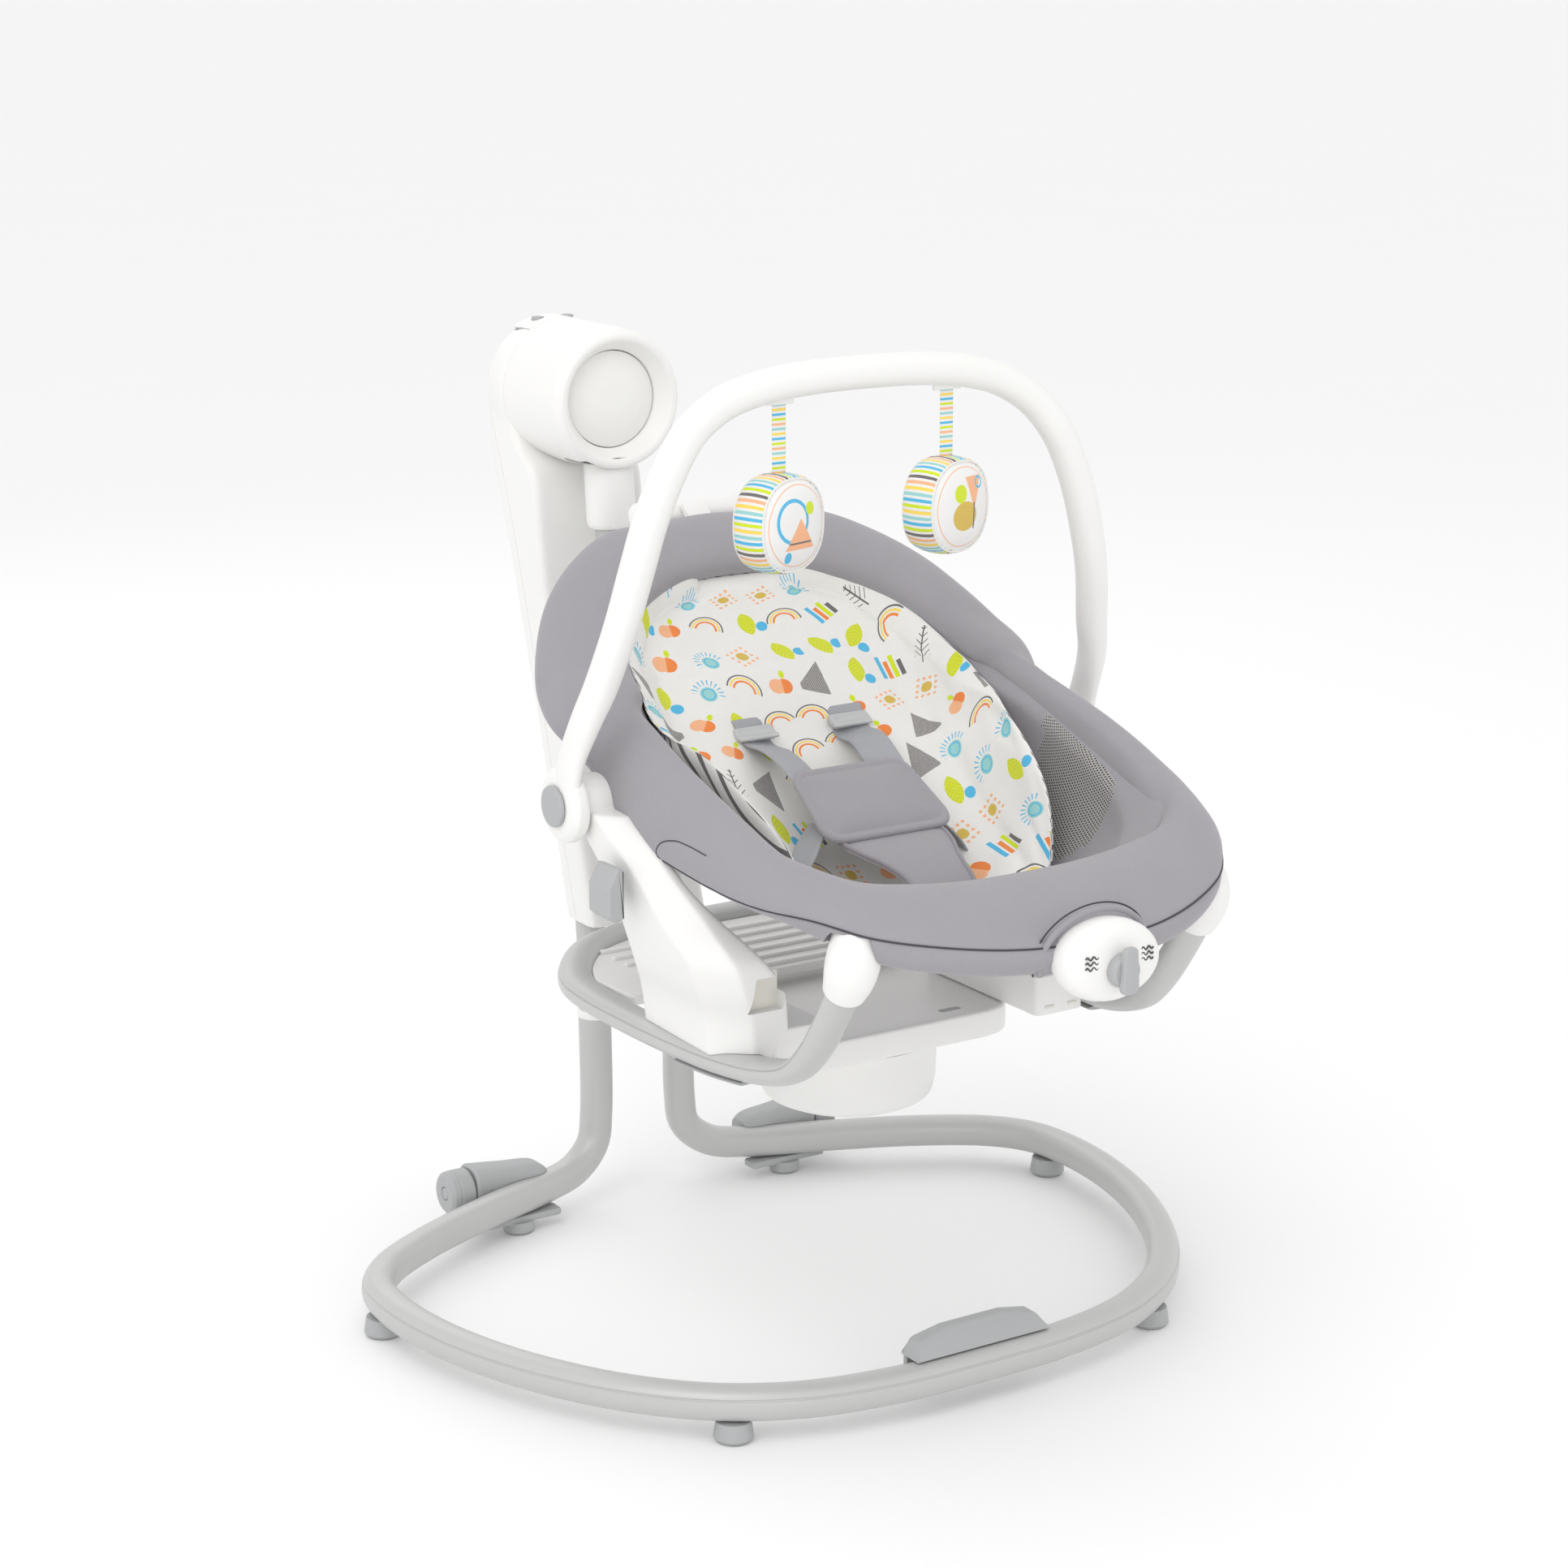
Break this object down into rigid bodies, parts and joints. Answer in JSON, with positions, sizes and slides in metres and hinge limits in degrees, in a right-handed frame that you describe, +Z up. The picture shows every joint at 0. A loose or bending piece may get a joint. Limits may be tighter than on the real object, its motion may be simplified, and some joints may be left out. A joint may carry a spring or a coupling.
{
  "type": "baby swing",
  "caption": "Baby swing with a bent-tube floor base, leaning motor post, hanging arm with a turntable dock, and a reclining lift-off rocker seat under a toy arch.",
  "frame": {"origin": "on the floor under the middle of the bounding box", "axes": "+Z up, the seat faces -Y, +X to the right seen from the front"},
  "size_m": [0.766, 0.942, 0.863],
  "materials": {
    "pale_gray_tube": "satin paint",
    "white_plastic": "satin moulded plastic",
    "gray_plastic": "fine matte moulded plastic",
    "gear_plastic": "plain acetal",
    "hidden_steel": "plain steel",
    "board": "circuit board lacquer",
    "gray_fabric": "soft knitted polyester",
    "printed_fabric": "soft printed jersey"
  },
  "bodies": {
    "base": {"base_tube": "pale_gray_tube", "upright_left": "pale_gray_tube", "upright_right": "pale_gray_tube", "foot_side_left": "gray_plastic", "foot_side_right": "gray_plastic", "foot_front_left": "gray_plastic", "foot_front_right": "gray_plastic", "foot_rear_left": "gray_plastic", "foot_rear_right": "gray_plastic", "roller_housing_left": "gray_plastic", "roller_housing_right": "gray_plastic", "base_cover": "gray_plastic", "post_front_shell": "white_plastic", "post_rear_shell": "white_plastic", "battery_door": "white_plastic", "head_shell": "white_plastic", "head_cap": "white_plastic", "control_panel": "gray_plastic", "bearing_plate": "gray_plastic", "motor_plate": "gray_plastic", "drive_motor": "hidden_steel", "circuit_board": "board"},
    "roller_left": {"roller_left": "gray_plastic"},
    "roller_right": {"roller_right": "gray_plastic"},
    "power_button": {"power_button": "white_plastic"},
    "speed_button": {"speed_button": "white_plastic"},
    "drive_pinion": {"drive_pinion": "gear_plastic"},
    "swing_arm": {"swing_shaft": "hidden_steel", "sector_gear": "gear_plastic", "arm_lever": "hidden_steel", "arm_tube": "pale_gray_tube", "arm_sleeve": "white_plastic", "dock_hub": "white_plastic"},
    "turntable": {"dock_plate": "white_plastic"},
    "rocker": {"rocker_frame": "pale_gray_tube", "cross_panel": "white_plastic", "bracket_left": "white_plastic", "bracket_right": "white_plastic", "leg_sleeve_left": "white_plastic", "leg_sleeve_right": "white_plastic", "pivot_pin_left": "gray_plastic", "pivot_pin_right": "gray_plastic", "seat_ring": "hidden_steel", "front_rim": "gray_fabric", "seat_pad": "printed_fabric", "crotch_strap": "gray_fabric", "harness_buckle": "gray_plastic", "belly_pad": "gray_fabric", "vibration_housing": "white_plastic", "vibration_motor": "hidden_steel"},
    "vibration_knob": {"vibration_knob": "gray_plastic"},
    "latch_lever_left": {"latch_lever_left": "gray_plastic"},
    "latch_lever_right": {"latch_lever_right": "gray_plastic"},
    "backrest": {"back_frame": "hidden_steel", "back_rim": "gray_fabric", "back_pad": "printed_fabric"},
    "recline_handle": {"recline_handle": "white_plastic"},
    "toy_arch": {"toy_arch": "white_plastic"},
    "toy_left": {"toy_left": "printed_fabric"},
    "toy_right": {"toy_right": "printed_fabric"}
  },
  "joints": [
    {"name": "roller_left_spin", "type": "hinge", "parent": "base", "child": "roller_left", "pos_m": [-0.2035, 0.284, 0.043], "axis": [1, 0, 0], "continuous": true},
    {"name": "roller_right_spin", "type": "hinge", "parent": "base", "child": "roller_right", "pos_m": [0.2035, 0.284, 0.043], "axis": [1, 0, 0], "continuous": true},
    {"name": "power_press", "type": "slide", "parent": "base", "child": "power_button", "axis": [0, 0, -1], "range_m": [0, 0.0012], "stiffness_N_per_m": 400},
    {"name": "speed_press", "type": "slide", "parent": "base", "child": "speed_button", "axis": [0, 0, -1], "range_m": [0, 0.0012], "stiffness_N_per_m": 400},
    {"name": "arm_swing", "type": "hinge", "parent": "base", "child": "swing_arm", "pos_m": [0, 0.396, 0.776], "axis": [0, 1, 0], "range_deg": [-10, 10]},
    {"name": "pinion_spin", "type": "hinge", "parent": "base", "child": "drive_pinion", "pos_m": [0, 0.392, 0.7277], "axis": [0, 1, 0], "range_deg": [-50, 50]},
    {"name": "dock_turn", "type": "hinge", "parent": "swing_arm", "child": "turntable", "pos_m": [0, -0.076, 0.285], "axis": [0, 0, 1], "range_deg": [-90, 90]},
    {"name": "seat_liftoff", "type": "slide", "parent": "turntable", "child": "rocker", "axis": [0, 0, 1], "range_m": [0, 0.1]},
    {"name": "vibration_dial", "type": "hinge", "parent": "rocker", "child": "vibration_knob", "pos_m": [0, -0.464, 0.426], "axis": [0, 1, 0], "range_deg": [-45, 45]},
    {"name": "latch_left_open", "type": "hinge", "parent": "rocker", "child": "latch_lever_left", "pos_m": [-0.2565, -0.1012, 0.447], "axis": [0, 0, -1], "range_deg": [0, 20], "stiffness_Nm_per_rad": 0.1},
    {"name": "latch_right_open", "type": "hinge", "parent": "rocker", "child": "latch_lever_right", "pos_m": [0.2565, -0.1012, 0.447], "axis": [0, 0, 1], "range_deg": [0, 20], "stiffness_Nm_per_rad": 0.1},
    {"name": "recline", "type": "hinge", "parent": "rocker", "child": "backrest", "pos_m": [0, -0.049, 0.505], "axis": [1, 0, 0], "range_deg": [-12, 12]},
    {"name": "handle_squeeze", "type": "slide", "parent": "backrest", "child": "recline_handle", "axis": [0, 0.7431, 0.6691], "range_m": [0, 0.006], "stiffness_N_per_m": 900},
    {"name": "arch_tilt", "type": "hinge", "parent": "rocker", "child": "toy_arch", "pos_m": [0, -0.049, 0.505], "axis": [1, 0, 0], "range_deg": [-40, 15]},
    {"name": "toy_left_swing", "type": "hinge", "parent": "toy_arch", "child": "toy_left", "pos_m": [-0.084, -0.097, 0.827], "axis": [1, 0, 0], "range_deg": [-40, 40]},
    {"name": "toy_right_swing", "type": "hinge", "parent": "toy_arch", "child": "toy_right", "pos_m": [0.084, -0.097, 0.827], "axis": [1, 0, 0], "range_deg": [-40, 40]}
  ],
  "couplings": [
    {"joint": "pinion_spin", "follows": "arm_swing", "ratio": -5}
  ]
}
